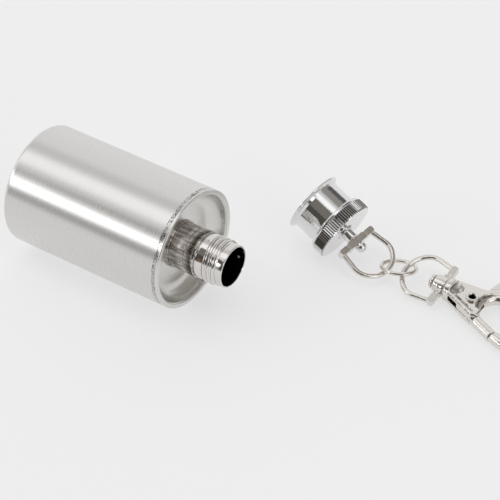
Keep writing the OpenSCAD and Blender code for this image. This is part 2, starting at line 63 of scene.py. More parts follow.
# %% Measure the flask and the table
body_low, body_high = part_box("body_tube")
pan_low, pan_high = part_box("top_pan")
table_z = body_low.z
body_r = (body_high.z - body_low.z) / 2
rim_x = pan_high.x
print("flask radius", round(body_r / MM, 2), "mm, table at", round(table_z / MM, 2), "mm")
print("pan from", round(pan_low.x / MM, 2), "to its rim at", round(rim_x / MM, 2), "mm")

# %% [markdown]
# The camera stands where the photograph was taken from: above the table, in front of the flask and to
# its right, far away behind a long lens. A long lens keeps the cylinder's edges nearly parallel. A
# camera looks along its own -Z, so to_track_quat turns that axis along the line of sight.

# %% Place the camera
CAMERA_PLACE = (0.2349, -0.3377, 0.3512)
VIEW_AZIMUTH = math.radians(34.23)
VIEW_DROP = math.radians(40.03)
LENS_MM = 152.35
SENSOR_MM = 36
NEAREST = 0.01
FARTHEST = 20

line_of_sight = Vector((
    -math.sin(VIEW_AZIMUTH) * math.cos(VIEW_DROP),
    math.cos(VIEW_AZIMUTH) * math.cos(VIEW_DROP),
    -math.sin(VIEW_DROP),
))
bpy.ops.object.camera_add(location=CAMERA_PLACE)
camera = bpy.context.object
camera.name = "camera"
camera.rotation_euler = line_of_sight.to_track_quat("-Z", "Y").to_euler()
camera.data.lens = LENS_MM
camera.data.sensor_width = SENSOR_MM
camera.data.clip_start = NEAREST
camera.data.clip_end = FARTHEST
bpy.context.scene.camera = camera
print("camera looks along", [round(c, 3) for c in line_of_sight])

# %% [markdown]
# Materials and the world are trees of nodes. Four small helpers keep them readable: one adds a node with
# its settings, one feeds a socket by a link or with a plain value, one works out a sum, and one takes a
# direction or a place apart into its X, Y and Z.

# %% Helpers for node trees
def add_node(tree, kind, **settings):
    node = tree.nodes.new(kind)
    for key, value in settings.items():
        setattr(node, key, value)
    return node


def feed(tree, socket, value):
    if isinstance(value, bpy.types.NodeSocket):
        tree.links.new(value, socket)
    else:
        socket.default_value = value


def math_node(tree, operation, *values):
    node = add_node(tree, "ShaderNodeMath", operation=operation)
    for socket, value in zip(node.inputs, values):
        feed(tree, socket, value)
    return node.outputs[0]


def split_xyz(tree, vector):
    node = add_node(tree, "ShaderNodeSeparateXYZ")
    tree.links.new(vector, node.inputs[0])
    return node.outputs


print("helpers:", ", ".join(tool.__name__ for tool in (add_node, feed, math_node, split_xyz)))

# %% [markdown]
# Polished metal shows little of itself and much of the room, so the studio matters as much as the
# steel. A light tent stands round the flask, and it is drawn in the world, by direction. The first step
# turns a direction into angles: its turn about the flask's axis, its azimuth and its elevation.

# %% Angles of a direction in the world
world = bpy.data.worlds.new("light_tent")
bpy.context.scene.world = world
world.use_nodes = True
sky = world.node_tree
sky.nodes.clear()
toward = add_node(sky, "ShaderNodeTexCoord")
x, y, z = split_xyz(sky, toward.outputs["Generated"])


def degrees(radians):
    return math_node(sky, "MULTIPLY", radians, 180 / math.pi)


turn = degrees(math_node(sky, "ARCTAN2", z, y))
azimuth = degrees(math_node(sky, "ARCTAN2", x, math_node(sky, "MULTIPLY", y, -1)))
elevation = degrees(math_node(sky, "ARCSINE", z))
print("the world's tree has", len(sky.nodes), "nodes")

# %% [markdown]
# Seen along the flask's axis the tent is a ring: the far wall, a darker strip, the ceiling, a gap, a
# bright panel at the near side and a dark slit over the table's edge. Its middle level is about 1, at
# which a colour renders about as it is written. The ramp holds each level divided by the world's
# strength, which multiplies it back.

# %% Ring of the light tent
TENT = [
    # turn about the flask's axis in degrees, from the far horizon over the top, and the light there
    (-5, 0.92),
    (30, 0.90),
    (60, 0.88),
    (74, 0.64),
    (84, 0.72),
    (94, 1.20),
    (112, 1.20),
    (120, 0.78),
    (135, 0.78),
    (141, 2.5),
    (159, 2.5),
    (166, 0.5),
    (184, 0.5),
    (190, 0.92),
]
TENT_START = -90
TENT_STRENGTH = 2
FULL_TURN = 360

turn = math_node(sky, "DIVIDE", math_node(sky, "SUBTRACT", turn, TENT_START), FULL_TURN)
ring = add_node(sky, "ShaderNodeValToRGB")
levels = ring.color_ramp.elements
while len(levels) < len(TENT):
    levels.new(0.5)
for element, (place, level) in zip(levels, TENT):
    element.position = (place - TENT_START) / FULL_TURN
    element.color = (level / TENT_STRENGTH, level / TENT_STRENGTH, level / TENT_STRENGTH, 1)
sky.links.new(math_node(sky, "FRACT", turn), ring.inputs[0])
print("the ring has", len(levels), "levels")

# %% [markdown]
# Polished metal also shows darker parts of a room. Each is a soft-edged panel in the tent, laid over the
# ring and over the panels before it. Smooth steps at its four borders, multiplied, make its mask.

# %% Panels in the tent
PANELS = {
    # azimuth from -Y toward +X, elevation, softness, all in degrees, then the colour that shows there
    "far right": ((104, 177), (6, 71), 4, (0.33, 0.31, 0.285)),
    "far strip": ((168, 178), (6, 66), 1.5, (0.12, 0.115, 0.12)),
    "left of camera": ((-42, -18), (30, 47), 3, (0.13, 0.12, 0.11)),
    "above camera": ((-16, 56), (34, 68), 4, (0.20, 0.185, 0.165)),
    "round camera": ((-21, 56), (3, 37), 3, (0.088, 0.082, 0.07)),
    "low brown patch": ((2, 16), (8, 16), 2, (0.30, 0.15, 0.07)),
}


def ramped(tree, value, low, high):
    node = add_node(tree, "ShaderNodeMapRange", interpolation_type="SMOOTHSTEP")
    tree.links.new(value, node.inputs["Value"])
    node.inputs["From Min"].default_value = low
    node.inputs["From Max"].default_value = high
    return node.outputs[0]


def inside(angle, low, high, soft):
    rise = ramped(sky, angle, low - soft, low + soft)
    fall = ramped(sky, angle, high + soft, high - soft)
    return math_node(sky, "MULTIPLY", rise, fall)


def mixed(tree, fac, first, second):
    node = add_node(tree, "ShaderNodeMix", data_type="RGBA")
    tree.links.new(fac, node.inputs["Factor"])
    for label, value in (("A", first), ("B", second)):
        if not isinstance(value, bpy.types.NodeSocket):
            value = (*value, 1)
        feed(tree, node.inputs[label], value)
    return node.outputs["Result"]


room = ring.outputs[0]
for azimuths, elevations, soft, colour in PANELS.values():
    across = inside(azimuth, *azimuths, soft)
    upward = inside(elevation, *elevations, soft)
    mask = math_node(sky, "MULTIPLY", across, upward)
    room = mixed(sky, mask, room, [c / TENT_STRENGTH for c in colour])
print("panels:", ", ".join(PANELS))

# %% [markdown]
# The tent lights the scene as the world's background, and no lamp is needed. With the Standard view
# transform a colour comes out as it is written.

# %% Light the scene by the tent
light = add_node(sky, "ShaderNodeBackground")
sky.links.new(room, light.inputs["Color"])
light.inputs["Strength"].default_value = TENT_STRENGTH
out = add_node(sky, "ShaderNodeOutputWorld")
sky.links.new(light.outputs[0], out.inputs[0])
bpy.context.scene.view_settings.view_transform = "Standard"
print("view transform:", bpy.context.scene.view_settings.view_transform)

# %% [markdown]
# The photograph's backdrop is one pale sheet. Paper that is only lit comes out too dark for it, and a
# stronger light would fade the object. So part of the paper's colour is an even glow, which shows to
# the camera and in what metal mirrors, and the rest is plain paper, which keeps the object's shadow.

# %% Paper that glows a little
FLOOR_COLOUR = (0.94, 0.94, 0.94)
FLOOR_GLOW = (0.98, 0.98, 0.985)
FLOOR_LIFT = 0.6
PAPER_ROUGH = 0.9
PAPER_SHINE = 0.1


def new_material(name):
    material = bpy.data.materials.new(name)
    material.use_nodes = True
    tree = material.node_tree
    return material, tree, tree.nodes["Principled BSDF"]


paper, tree, skin = new_material("paper")
skin.inputs["Base Color"].default_value = (*FLOOR_COLOUR, 1)
skin.inputs["Roughness"].default_value = PAPER_ROUGH
skin.inputs["Specular IOR Level"].default_value = PAPER_SHINE
glow = add_node(tree, "ShaderNodeEmission")
glow.inputs["Color"].default_value = (*FLOOR_GLOW, 1)
glow.inputs["Strength"].default_value = 1
path = add_node(tree, "ShaderNodeLightPath")
looked_at = math_node(tree, "MAXIMUM", path.outputs["Is Camera Ray"], path.outputs["Is Glossy Ray"])
looked_at = math_node(tree, "MAXIMUM", looked_at, path.outputs["Is Transmission Ray"])
both = add_node(tree, "ShaderNodeMixShader")
tree.links.new(math_node(tree, "MULTIPLY", looked_at, FLOOR_LIFT), both.inputs[0])
tree.links.new(skin.outputs[0], both.inputs[1])
tree.links.new(glow.outputs[0], both.inputs[2])
tree.links.new(both.outputs[0], tree.nodes["Material Output"].inputs["Surface"])
print("paper glows by", FLOOR_LIFT)

# %% [markdown]
# The sheet itself is a large plane, a hair under the flask so that the two never share a surface. It is
# stage, not part of the object.

# %% Pale floor
FLOOR_SIZE = 6
FLOOR_GAP = 0.02 * MM

bpy.ops.mesh.primitive_plane_add(size=FLOOR_SIZE, location=(0, 0, table_z - FLOOR_GAP))
floor = bpy.context.object
floor.name = "floor"
floor.data.materials.append(paper)
print("floor is", FLOOR_SIZE, "m wide")

# %% [markdown]
# Brushed steel is a mirror with thousands of fine parallel scratches. Across them a reflection smears
# out, along them it stays. One group of nodes makes such lines round the flask's axis: it unrolls the
# surface into a place along X and an angle, and noise that is long in the angle gives the lines. The
# same noise, drawn much wider, gives faint bands. A group is a part that several materials can share.

# %% Group for lines brushed round the X axis
LINE_WIDTH = 0.06
LINE_LENGTH = 0.9
BAND_SCALE = (0.12, 0.6)
FINE_GRAIN = 0.6


def new_group(name, inputs, outputs):
    group = bpy.data.node_groups.new(name, "ShaderNodeTree")
    for label, value in inputs.items():
        kind = "NodeSocketVector" if value is None else "NodeSocketFloat"
        socket = group.interface.new_socket(label, in_out="INPUT", socket_type=kind)
        if value is not None:
            socket.default_value = value
    for label in outputs:
        group.interface.new_socket(label, in_out="OUTPUT", socket_type="NodeSocketFloat")
    given = add_node(group, "NodeGroupInput").outputs
    result = add_node(group, "NodeGroupOutput").inputs
    return group, given, result


def noise_at(tree, vector, scale, detail=2, rough=0.5):
    node = add_node(tree, "ShaderNodeTexNoise")
    tree.links.new(vector, node.inputs["Vector"])
    feed(tree, node.inputs["Scale"], scale)
    node.inputs["Detail"].default_value = detail
    node.inputs["Roughness"].default_value = rough
    return node.outputs[0]


brushed, given, result = new_group(
    "brushed_round_x",
    {"Place": None, "Line width": LINE_WIDTH, "Line length": LINE_LENGTH},
    ("Lines", "Bands"),
)
x, y, z = split_xyz(brushed, given["Place"])
along = math_node(brushed, "DIVIDE", math_node(brushed, "DIVIDE", x, MM), given["Line width"])
round_it = math_node(brushed, "DIVIDE", math_node(brushed, "ARCTAN2", y, z), given["Line length"])


def unrolled(across, around):
    flat = add_node(brushed, "ShaderNodeCombineXYZ")
    brushed.links.new(math_node(brushed, "MULTIPLY", along, across), flat.inputs[0])
    brushed.links.new(math_node(brushed, "MULTIPLY", round_it, around), flat.inputs[1])
    return flat.outputs[0]


brushed.links.new(noise_at(brushed, unrolled(1, 1), 1, rough=FINE_GRAIN), result["Lines"])
brushed.links.new(noise_at(brushed, unrolled(*BAND_SCALE), 1), result["Bands"])
print("lines are", LINE_WIDTH, "mm wide")

# %% [markdown]
# Handled metal is never even: faint smears change its gloss and its tone. The second group gives them as
# one mask, from noise in the object's own coordinates. Each material sets the smears' size in mm.

# %% Group for smears
SMEAR_DETAIL = 3

handled, given, result = new_group("handled_metal", {"Place": None, "Smear size": 1}, ("Smears",))
smears_per_m = math_node(handled, "DIVIDE", 1 / MM, given["Smear size"])
handled.links.new(noise_at(handled, given["Place"], smears_per_m, SMEAR_DETAIL), result["Smears"])
print("groups so far:", ", ".join(group.name for group in (brushed, handled)))

# %% [markdown]
# Where the pan meets the tube, a narrow band runs round the edge. It is smoother than the tube, without
# brush lines, and small dark pits are scattered in it. The third group masks the band by its place
# along X, and the peaks of a noise give pits of uneven size inside it.

# %% Group for the welded edge
WELD_WIDTH = 1.7
WELD_BORDER = 0.12
PIT_SIZE = 0.36
PIT_PEAKS = (0.53, 0.58)

weld, given, result = new_group(
    "welded_edge",
    {"Place": None, "Band width": WELD_WIDTH, "Pit size": PIT_SIZE},
    ("Band", "Pits"),
)
x = split_xyz(weld, given["Place"])[0]
behind_rim = math_node(weld, "DIVIDE", math_node(weld, "SUBTRACT", rim_x, x), MM)
inwards = math_node(weld, "SUBTRACT", given["Band width"], behind_rim)
band = ramped(weld, inwards, -WELD_BORDER, WELD_BORDER)
weld.links.new(band, result["Band"])
pits_per_m = math_node(weld, "DIVIDE", 1 / MM, given["Pit size"])
pits = ramped(weld, noise_at(weld, given["Place"], pits_per_m), *PIT_PEAKS)
weld.links.new(math_node(weld, "MULTIPLY", pits, band), result["Pits"])
print("welded band is", WELD_WIDTH, "mm wide")

# %% [markdown]
# Every metal here is a Principled shader with Metallic at 1. What differs is the colour, the roughness,
# how far smears change it, and how high they stand as a faint relief. Bump tilts the light on the
# surface by that height and leaves the mesh alone, which is enough for marks as fine as these.

# %% Plain metals
METALS = {
    # colour, roughness, how far smears change it, their height and their size in mm
    "pan_steel": ((0.74, 0.73, 0.71), 0.27, 0.05, 0.002, 3.0),
    "neck_polish": ((0.72, 0.70, 0.68), 0.06, 0.03, 0.004, 1.0),
    "cap_chrome": ((0.76, 0.76, 0.76), 0.05, 0.03, 0.012, 0.5),
    "ring_nickel": ((0.75, 0.72, 0.68), 0.055, 0.04, 0.16, 1.5),
    "hook_nickel": ((0.75, 0.72, 0.68), 0.08, 0.06, 0.12, 1.2),
    "rivet_steel": ((0.72, 0.69, 0.65), 0.1, 0.05, 0.01, 1.0),
    "spring_steel": ((0.5, 0.49, 0.47), 0.25, 0.05, 0.0, 1.0),
}
SMEAR_TONE = 0.03


def shades(colour, step):
    return [c * (1 - step) for c in colour], [min(1, c * (1 + step)) for c in colour]


def object_place(tree):
    return add_node(tree, "ShaderNodeTexCoord").outputs["Object"]


def smears_on(tree, place, size):
    marks = add_node(tree, "ShaderNodeGroup", node_tree=handled)
    tree.links.new(place, marks.inputs["Place"])
    marks.inputs["Smear size"].default_value = size
    return marks.outputs["Smears"]


def metal(name, colour, roughness, smear, height, smear_size):
    material, tree, skin = new_material(name)
    skin.inputs["Metallic"].default_value = 1
    smears = smears_on(tree, object_place(tree), smear_size)
    dull = math_node(tree, "MULTIPLY_ADD", smears, smear, roughness - smear / 2)
    tree.links.new(dull, skin.inputs["Roughness"])
    tree.links.new(mixed(tree, smears, *shades(colour, SMEAR_TONE)), skin.inputs["Base Color"])
    if height:
        relief = add_node(tree, "ShaderNodeBump")
        relief.inputs["Distance"].default_value = height * MM
        tree.links.new(smears, relief.inputs["Height"])
        tree.links.new(relief.outputs[0], skin.inputs["Normal"])
    return material


finishes = {name: metal(name, *look) for name, look in METALS.items()}
print("metals:", ", ".join(finishes))

# %% [markdown]
# The flask's side and base are brushed. Anisotropic stretches a highlight along the flask, across a
# tangent that runs round its axis, as scratches do. The lines give a faint tone and relief, the bands
# an uneven gloss, and the welded edge takes the place of both near the rim.

# %% Brushed steel of the flask
FLASK_COLOUR = (0.72, 0.71, 0.695)
FLASK_ROUGH = 0.27
STRETCH = 0.7
QUARTER_TURN = 0.25
LINE_TONE = 0.035
LINE_STRENGTH = 0.2
LINE_DEPTH = 0.005
BAND_GLOSS = 0.06
WELD_COLOUR = (0.62, 0.605, 0.585)
WELD_ROUGH = 0.16
PIT_COLOUR = (0.07, 0.067, 0.064)

flask_steel, tree, skin = new_material("flask_steel")
finishes["flask_steel"] = flask_steel
skin.inputs["Metallic"].default_value = 1
skin.inputs["Anisotropic"].default_value = STRETCH
skin.inputs["Anisotropic Rotation"].default_value = QUARTER_TURN
place = object_place(tree)
lines = add_node(tree, "ShaderNodeGroup", node_tree=brushed)
edge = add_node(tree, "ShaderNodeGroup", node_tree=weld)
for group in (lines, edge):
    tree.links.new(place, group.inputs["Place"])
tone = mixed(tree, lines.outputs["Lines"], *shades(FLASK_COLOUR, LINE_TONE))
tone = mixed(tree, edge.outputs["Band"], tone, WELD_COLOUR)
tone = mixed(tree, edge.outputs["Pits"], tone, PIT_COLOUR)
tree.links.new(tone, skin.inputs["Base Color"])
dull = math_node(tree, "MULTIPLY_ADD", lines.outputs["Bands"], BAND_GLOSS, FLASK_ROUGH - BAND_GLOSS / 2)
smoother = math_node(tree, "MULTIPLY", edge.outputs["Band"], FLASK_ROUGH - WELD_ROUGH)
tree.links.new(math_node(tree, "SUBTRACT", dull, smoother), skin.inputs["Roughness"])
relief = add_node(tree, "ShaderNodeBump")
relief.inputs["Strength"].default_value = LINE_STRENGTH
relief.inputs["Distance"].default_value = LINE_DEPTH * MM
tree.links.new(lines.outputs["Lines"], relief.inputs["Height"])
tree.links.new(relief.outputs[0], skin.inputs["Normal"])
grain = add_node(tree, "ShaderNodeTangent", direction_type="RADIAL", axis="X")
tree.links.new(grain.outputs[0], skin.inputs["Tangent"])
print(flask_steel.name, "has", len(tree.nodes), "nodes")

# %% [markdown]
# The neck's foot is painted browner and darker than its thread: a painted dark reflection. Such a region
# is laid over a finished metal as a tint, by place: a mask is full inside it and fades out at its border.
# Noise that is stretched along the neck breaks this one up into streaks.

# %% Painted dark reflection on the neck's foot
# Every FADE is a pair in mm: where the tint starts, and where it is full
FOOT_FADE = (-7.4, -8.9)
# Colour of the painted dark reflection on the neck's foot
FOOT_REFLECTION_COLOUR = (0.25, 0.22, 0.195)
STREAKS_PER_MM = 1.6
STREAK_STRETCH = (0.12, 1, 1)
STREAK_PEAKS = (0.35, 0.65)
STREAK_SHARE = 0.7
FOOT_SHARE = 0.25


def tint_by(finish, make_mask, colour):
    tree = finishes[finish].node_tree
    base = tree.nodes["Principled BSDF"].inputs["Base Color"]
    under = base.links[0].from_socket
    tree.links.new(mixed(tree, make_mask(tree, object_place(tree)), under, colour), base)
    print(finish, "is tinted by", make_mask.__name__)


def fade(tree, value, limits):
    return ramped(tree, value, limits[0] * MM, limits[1] * MM)


# Mask of the painted dark reflection on the neck's foot, broken into streaks
def neck_foot_reflection(tree, place):
    stretched = add_node(tree, "ShaderNodeMapping")
    tree.links.new(place, stretched.inputs["Vector"])
    stretched.inputs["Scale"].default_value = STREAK_STRETCH
    noise = noise_at(tree, stretched.outputs[0], STREAKS_PER_MM / MM, rough=FINE_GRAIN)
    patchy = math_node(tree, "MULTIPLY_ADD", ramped(tree, noise, *STREAK_PEAKS), STREAK_SHARE, FOOT_SHARE)
    foot = fade(tree, split_xyz(tree, place)[0], FOOT_FADE)
    return math_node(tree, "MULTIPLY", foot, patchy)


tint_by("neck_polish", neck_foot_reflection, FOOT_REFLECTION_COLOUR)

# %% [markdown]
# The bore of the hollow rivet is painted dark, as painted shade deep in the hole. It lies round the
# trigger's axis, which the frame gives with the joint. A place is measured from that axis in two numbers:
# how far along it, and how far off it.

# %% Painted shade in the rivet's bore
BORE_FADE = (0.94, 0.91)
# Colour of the painted shade in the rivet's bore
BORE_SHADE_COLOUR = (0.03, 0.028, 0.026)


def off_axis(tree, place, joint):
    from_axis = add_node(tree, "ShaderNodeVectorMath", operation="SUBTRACT")
    tree.links.new(place, from_axis.inputs[0])
    from_axis.inputs[1].default_value = joint["pos_m"]
    along = add_node(tree, "ShaderNodeVectorMath", operation="DOT_PRODUCT")
    across = add_node(tree, "ShaderNodeVectorMath", operation="CROSS_PRODUCT")
    for node in (along, across):
        tree.links.new(from_axis.outputs[0], node.inputs[0])
        node.inputs[1].default_value = Vector(joint["axis"]).normalized()
    radius = add_node(tree, "ShaderNodeVectorMath", operation="LENGTH")
    tree.links.new(across.outputs[0], radius.inputs[0])
    return along.outputs["Value"], radius.outputs["Value"]


def rivet_bore_shade(tree, place):
    radius = off_axis(tree, place, joints["trigger_pivot"])[1]
    return fade(tree, radius, BORE_FADE)


tint_by("rivet_steel", rivet_bore_shade, BORE_SHADE_COLOUR)

# %% [markdown]
# The hook's flat sides have a sunk field, and it is painted darker than the rail round it, as painted
# shade in the recess, in blotches. The field is the part of the hook near the rivet whose height over the
# middle plane is less than the flat's. The mask takes both sides at once, because it reads the height
# without its sign, and leaves out the slot between.

# %% Painted shade in the hook's sunk field
HALF_HOOK_T = 2
TOP_FADE = (HALF_HOOK_T - 0.12, HALF_HOOK_T - 0.24)
SLOT_FADE = (HALF_HOOK_T - 0.5, HALF_HOOK_T - 0.38)
REACH_FADE = (6.5, 5.5)
# Colour of the painted shade in the hook's sunk field
SUNK_SHADE_COLOUR = (0.2, 0.19, 0.175)
BLOTCHES_PER_MM = 0.9
BLOTCH_DETAIL = 3
BLOTCH_PEAKS = (0.3, 0.6)


def hook_recess_shade(tree, place):
    along, radius = off_axis(tree, place, joints["trigger_pivot"])
    height = math_node(tree, "ABSOLUTE", along)
    sunk = math_node(tree, "MULTIPLY", fade(tree, height, TOP_FADE), fade(tree, height, SLOT_FADE))
    sunk = math_node(tree, "MULTIPLY", sunk, fade(tree, radius, REACH_FADE))
    blotches = noise_at(tree, place, BLOTCHES_PER_MM / MM, BLOTCH_DETAIL, FINE_GRAIN)
    return math_node(tree, "MULTIPLY", sunk, ramped(tree, blotches, *BLOTCH_PEAKS))


tint_by("hook_nickel", hook_recess_shade, SUNK_SHADE_COLOUR)

# %% [markdown]
# The grooves of the knurled grip are painted darker than its ridges, as painted shade. The mask keeps
# what lies deeper than the ridges' tops, outside the plain shoulder, and no further along the cap's axis
# than the knurled band.

# %% Painted shade in the knurl's grooves
RIDGE_FADE = (8.88, 8.76)
SHOULDER_FADE = (8.66, 8.7)
END_FADE = (-3.55, -3.45)
# Colour of the painted shade in the knurl's grooves
GROOVE_SHADE_COLOUR = (0.2, 0.19, 0.19)


def knurl_groove_shade(tree, place):
    along, radius = off_axis(tree, place, joints["cap_swivel"])
    deep = math_node(tree, "MULTIPLY", fade(tree, radius, RIDGE_FADE), fade(tree, radius, SHOULDER_FADE))
    return math_node(tree, "MULTIPLY", deep, fade(tree, along, END_FADE))


tint_by("cap_chrome", knurl_groove_shade, GROOVE_SHADE_COLOUR)

# %% [markdown]
# Inside the cap sit a white plastic liner and a sealing disc. Neither is metal, so Metallic stays at 0,
# and a rough surface with faint smears in its tone is enough.

# %% Plastic and rubber
PLASTICS = {
    # colour and roughness
    "liner_plastic": ((0.85, 0.85, 0.83), 0.4),
    "seal_rubber": ((0.78, 0.78, 0.76), 0.6),
}
PLASTIC_SMEAR = 2.0
PLASTIC_TONE = 0.05


def plain(name, colour, roughness):
    material, tree, skin = new_material(name)
    smears = smears_on(tree, object_place(tree), PLASTIC_SMEAR)
    darker = shades(colour, PLASTIC_TONE)[0]
    tree.links.new(mixed(tree, smears, darker, colour), skin.inputs["Base Color"])
    skin.inputs["Roughness"].default_value = roughness
    return material


for name, look in PLASTICS.items():
    finishes[name] = plain(name, *look)
print("finishes:", ", ".join(finishes))

# %% [markdown]
# Each piece of the model is a node of its own in the frame, and each gets the finish of its material.
# Six of them are shown by finer pieces later on.

# %% Give each node its finish
FINISH = {
    "body_tube": "flask_steel",
    "base_disc": "flask_steel",
    "top_pan": "pan_steel",
    "neck_collar": "neck_polish",
    "neck_tube": "neck_polish",
    "cap_shell": "cap_chrome",
    "cap_knurled_top": "cap_chrome",
    "cap_thread_liner": "liner_plastic",
    "cap_gasket": "seal_rubber",
    "cap_swivel_stud": "cap_chrome",
    "cap_d_ring": "ring_nickel",
    "jump_ring": "ring_nickel",
    "hook_d_ring": "ring_nickel",
    "hook_swivel_stud": "ring_nickel",
    "hook_body": "hook_nickel",
    "hook_trigger": "hook_nickel",
    "trigger_rivet": "rivet_steel",
    "trigger_spring": "spring_steel",
}
for name, finish in FINISH.items():
    nodes[name].data.materials.clear()
    nodes[name].data.materials.append(finishes[finish])
print(len(FINISH), "nodes have a finish")

# %% [markdown]
# The frame's meshes are exact, and their edges are perfectly sharp. Real cast and bent metal has small
# round edges that catch a line of light. A copy of the mesh is merged, wrapped in an even skin of small
# squares by Remesh, and smoothed. The edges come out round, and flat faces stay flat. Last, the skin is
# drawn in by a hair, so that rings that swing close to each other stay clear at the ends of their turn.

# %% Soft copies of the cast and bent pieces
SOFT = [
    # piece, node that it stands for, size of the squares in mm, rounds of smoothing, body, finish
    ("cast_hook", "hook_body", 0.13, 7, "snap_hook", "hook_nickel"),
    ("cast_trigger", "hook_trigger", 0.1, 5, "trigger", "hook_nickel"),
    ("bent_cap_ring", "cap_d_ring", 0.07, 3, "cap_ring", "ring_nickel"),
    ("bent_hook_ring", "hook_d_ring", 0.07, 3, "hook_ring", "ring_nickel"),
]
MERGE = 0.001
EASE = 0.5
DRAWN_IN = 0.02


def pick(piece):
    bpy.ops.object.select_all(action="DESELECT")
    piece.select_set(True)
    bpy.context.view_layer.objects.active = piece


def loose_copy(node, name):
    pick(nodes[node])
    bpy.ops.object.duplicate()
    piece = bpy.context.object
    piece.name = name
    piece.data.name = name
    for key in list(piece.keys()):
        del piece[key]
    piece.parent = None
    return piece


def soft_copy(name, node, squares, rounds):
    piece = loose_copy(node, name)
    bpy.ops.object.mode_set(mode="EDIT")
    bpy.ops.mesh.select_all(action="SELECT")
    bpy.ops.mesh.remove_doubles(threshold=MERGE * MM)
    bpy.ops.object.mode_set(mode="OBJECT")
    skin = piece.modifiers.new("skin", "REMESH")
    skin.mode = "VOXEL"
    skin.voxel_size = squares * MM
    skin.use_smooth_shade = True
    bpy.ops.object.modifier_apply(modifier=skin.name)
    ease = piece.modifiers.new("ease", "SMOOTH")
    ease.factor = EASE
    ease.iterations = rounds
    bpy.ops.object.modifier_apply(modifier=ease.name)
    bpy.ops.object.mode_set(mode="EDIT")
    bpy.ops.mesh.select_all(action="SELECT")
    bpy.ops.transform.shrink_fatten(value=-DRAWN_IN * MM)
    bpy.ops.object.mode_set(mode="OBJECT")
    return piece


def put_in_scene(piece, body, finish, node):
    piece.data.materials.clear()
    piece.data.materials.append(finishes[finish])
    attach(piece, body)
    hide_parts(node)
    bpy.ops.object.select_all(action="DESELECT")
    print(piece.name, "stands for", node, "with", len(piece.data.polygons), "faces")


for name, node, squares, rounds, body, finish in SOFT:
    put_in_scene(soft_copy(name, node, squares, rounds), body, finish, node)

# %% [markdown]
# The neck is a turned shape: a foot in the pan, a groove, a round bead, a waist, the thread's bed and a
# smooth lip to drink from. It is made ring by ring, as its outline is drawn from left to right: a circle
# is extruded along X, and each new ring is scaled to its radius. The outline comes back through the bore
# to its start, so that the wall has its real thickness.

# %% Outline of the neck
BORE_R = 5.4
NECK_R = 6.2
GROOVE_R = 6.05
BEAD_R = 6.4
WAIST_R = 6.15
ROOT_R = 6.05
LIP_R = 5.85
FOOT_X = -17.48
STEP_X = -11.6
WAIST_X = -8.4
BED_X = (-7.05, -2.1)
BEAD_BACK = 0.2
BEAD_FRONT = 0.3
LIP_BEND = 0.25
BEAD_GAP = 0.25
SLOPE = 0.15
WAIST_SLOPE = 0.05
MOUTH_EDGE = 0.08
BEND_STEPS = 4


def rounded(x, radius, bend, from_angle, to_angle):
    points = []
    for step in range(BEND_STEPS + 1):
        angle = math.radians(from_angle + (to_angle - from_angle) * step / BEND_STEPS)
        points.append((x + bend * math.sin(angle), radius + bend * math.cos(angle)))
    return points


outline = [(FOOT_X, BORE_R), (FOOT_X, NECK_R)]
outline += [(STEP_X - 2 * SLOPE, NECK_R), (STEP_X - SLOPE, GROOVE_R), (STEP_X, GROOVE_R)]
outline += rounded(STEP_X + BEAD_GAP, BEAD_R - BEAD_BACK, BEAD_BACK, -90, 0)
outline += rounded(WAIST_X - BEAD_FRONT, BEAD_R - BEAD_FRONT, BEAD_FRONT, 0, 90)
outline += [(WAIST_X + WAIST_SLOPE, WAIST_R), (BED_X[0] - SLOPE, WAIST_R), (BED_X[0], ROOT_R)]
outline += [(BED_X[1], ROOT_R), (BED_X[1] + SLOPE, LIP_R)]
outline += rounded(-LIP_BEND, LIP_R - LIP_BEND, LIP_BEND, 0, 90)
outline += [(0, BORE_R + MOUTH_EDGE), (-MOUTH_EDGE, BORE_R), (FOOT_X, BORE_R)]
print("outline of the neck has", len(outline), "points")

# %% [markdown]
# The same tool turns the neck and, later, the top of the cap. An extruded ring is moved first and then
# scaled about the axis. At the end doubles are merged, faces are made to point outwards, and only edges
# that are sharper than the given angle stay hard.

# %% Turn the neck
NECK_SIDES = 128
HARD_EDGE = math.radians(35)


def turned_shell(name, outline, sides):
    first_x, first_r = outline[0]
    bpy.ops.object.select_all(action="DESELECT")
    bpy.ops.mesh.primitive_circle_add(
        vertices=sides,
        radius=first_r * MM,
        location=(first_x * MM, 0, 0),
        rotation=(0, math.pi / 2, 0),
    )
    piece = bpy.context.object
    piece.name = name
    piece.data.name = name
    bpy.ops.object.transform_apply(location=True, rotation=True, scale=True)
    bpy.ops.object.mode_set(mode="EDIT")
    bpy.ops.mesh.select_all(action="SELECT")
    last_x, last_r = first_x, first_r
    for x, radius in outline[1:]:
        bpy.ops.mesh.extrude_edges_move(TRANSFORM_OT_translate={"value": ((x - last_x) * MM, 0, 0)})
        grow = radius / last_r
        bpy.ops.transform.resize(value=(1, grow, grow), center_override=(x * MM, 0, 0))
        last_x, last_r = x, radius
    bpy.ops.mesh.select_all(action="SELECT")
    bpy.ops.mesh.remove_doubles(threshold=MERGE * MM)
    bpy.ops.mesh.normals_make_consistent(inside=False)
    bpy.ops.object.mode_set(mode="OBJECT")
    bpy.ops.object.shade_smooth_by_angle(angle=HARD_EDGE)
    return piece


neck = turned_shell("turned_neck", outline, NECK_SIDES)
print("neck has", len(neck.data.vertices), "corners")

# %% [markdown]
# The ridges on the neck are one thread that climbs round it three times. A small eight-sided wire, a
# little wider than high, stands at its start, and Screw carries it round and along the axis.

# %% Climb of the thread
THREAD_X = (-6.62, -2.27)
PITCH = 1.45
WIRE_SIDES = 8
WIRE_R = 0.48
WIRE_STRETCH = 1.15
THREAD_TOP_R = 6.4
STEPS_A_TURN = 96

